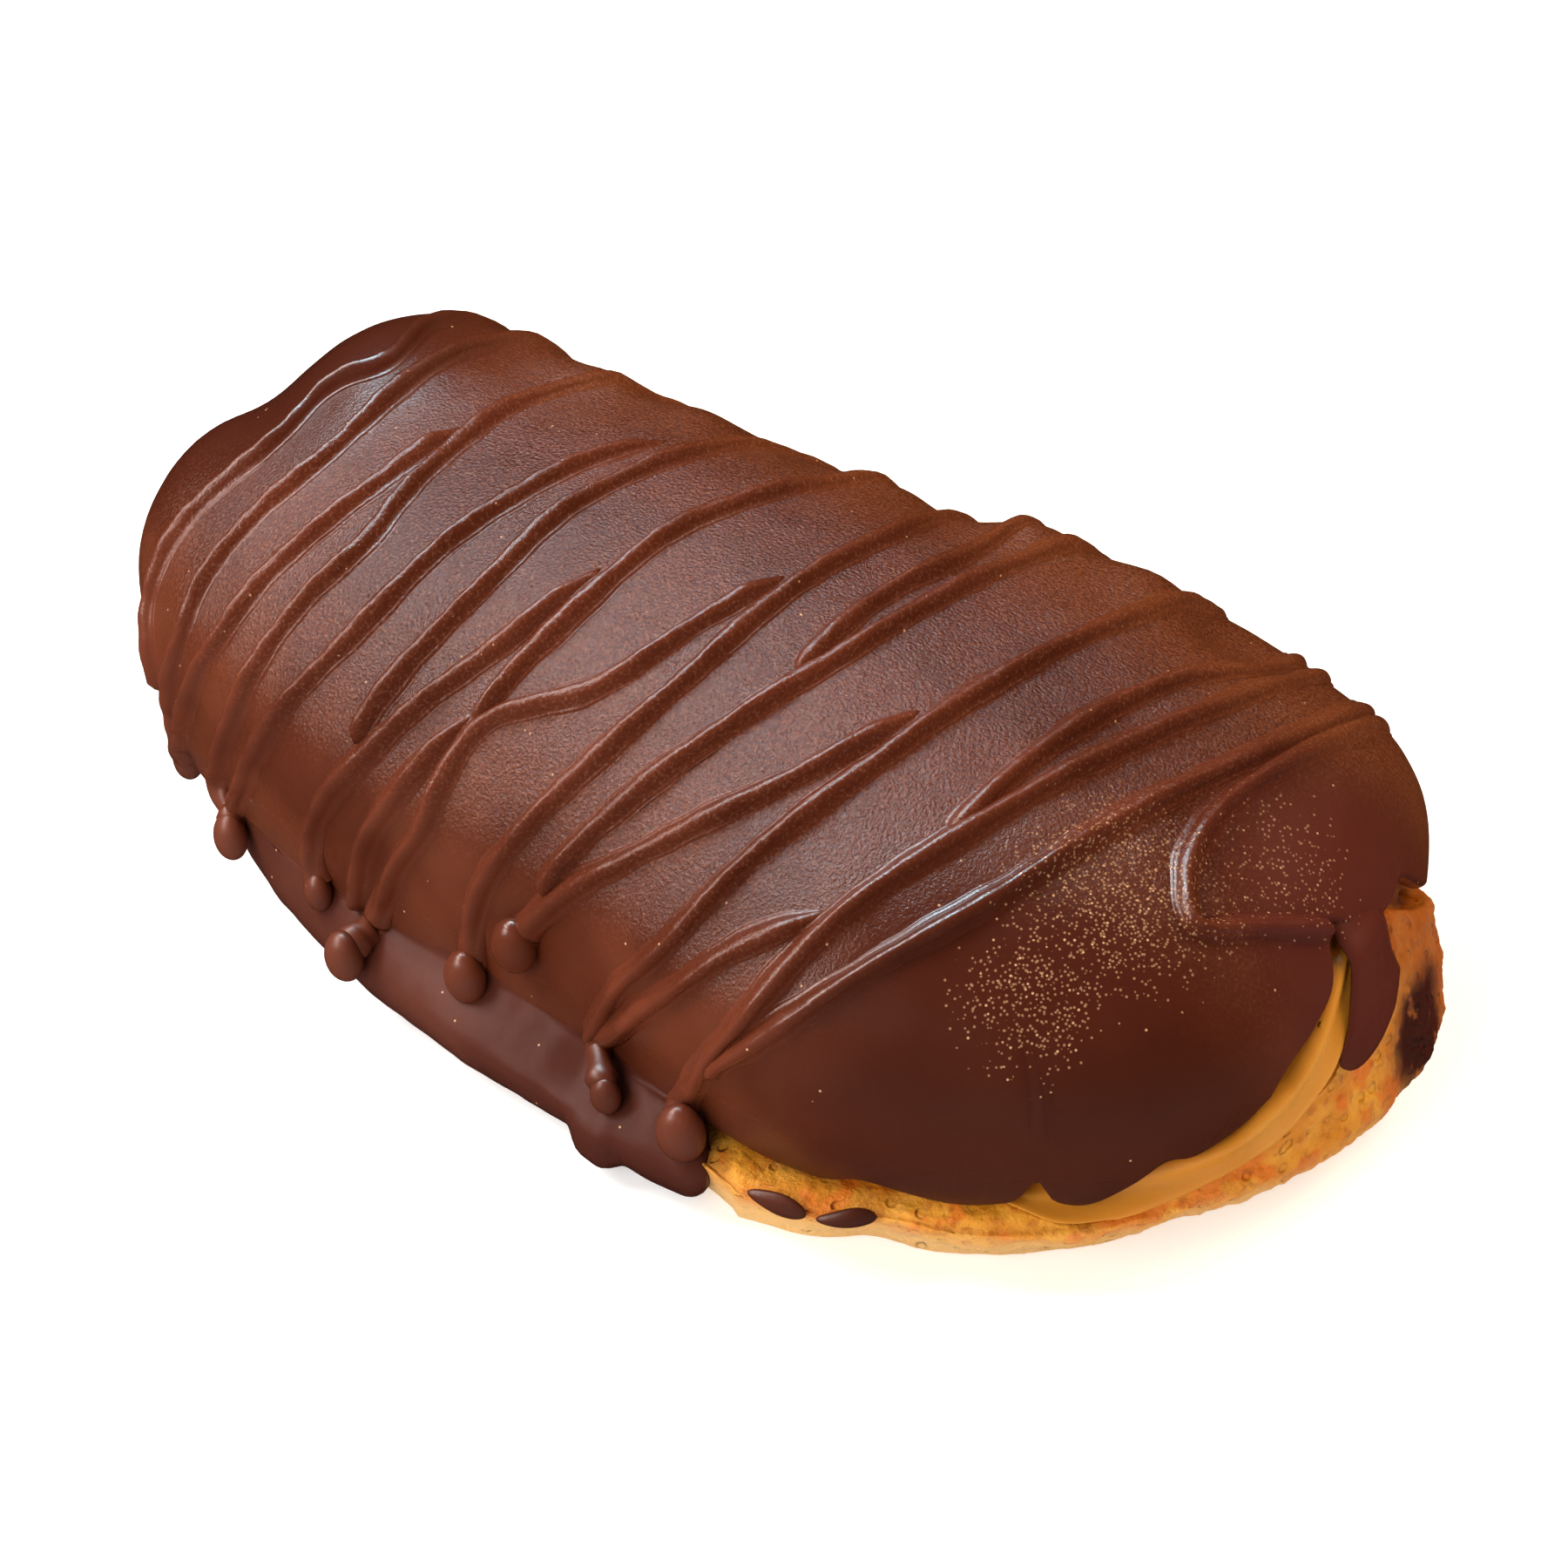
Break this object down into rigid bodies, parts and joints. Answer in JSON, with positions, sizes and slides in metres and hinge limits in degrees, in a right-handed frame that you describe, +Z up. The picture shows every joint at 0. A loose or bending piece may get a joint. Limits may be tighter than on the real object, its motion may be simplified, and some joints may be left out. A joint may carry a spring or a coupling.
{
  "type": "chocolate cream puff",
  "caption": "Oblong choux bun coated in chocolate with piped chocolate lines, slit at one end over a pale cream filling.",
  "frame": {"origin": "middle of the length and width, on the plane that the base rests on", "axes": "+X along the length towards the bare end with the slit, +Y away from the side that shows the piped lines' ends, +Z up"},
  "size_m": [0.131, 0.0762, 0.0422],
  "materials": {
    "crust": "baked, porous, matt",
    "filling": "smooth, slightly moist",
    "chocolate": "set chocolate, satin"
  },
  "bodies": {
    "root": {"choux_bun": "crust", "cream_filling": "filling", "chocolate_coat": "chocolate"}
  },
  "joints": []
}
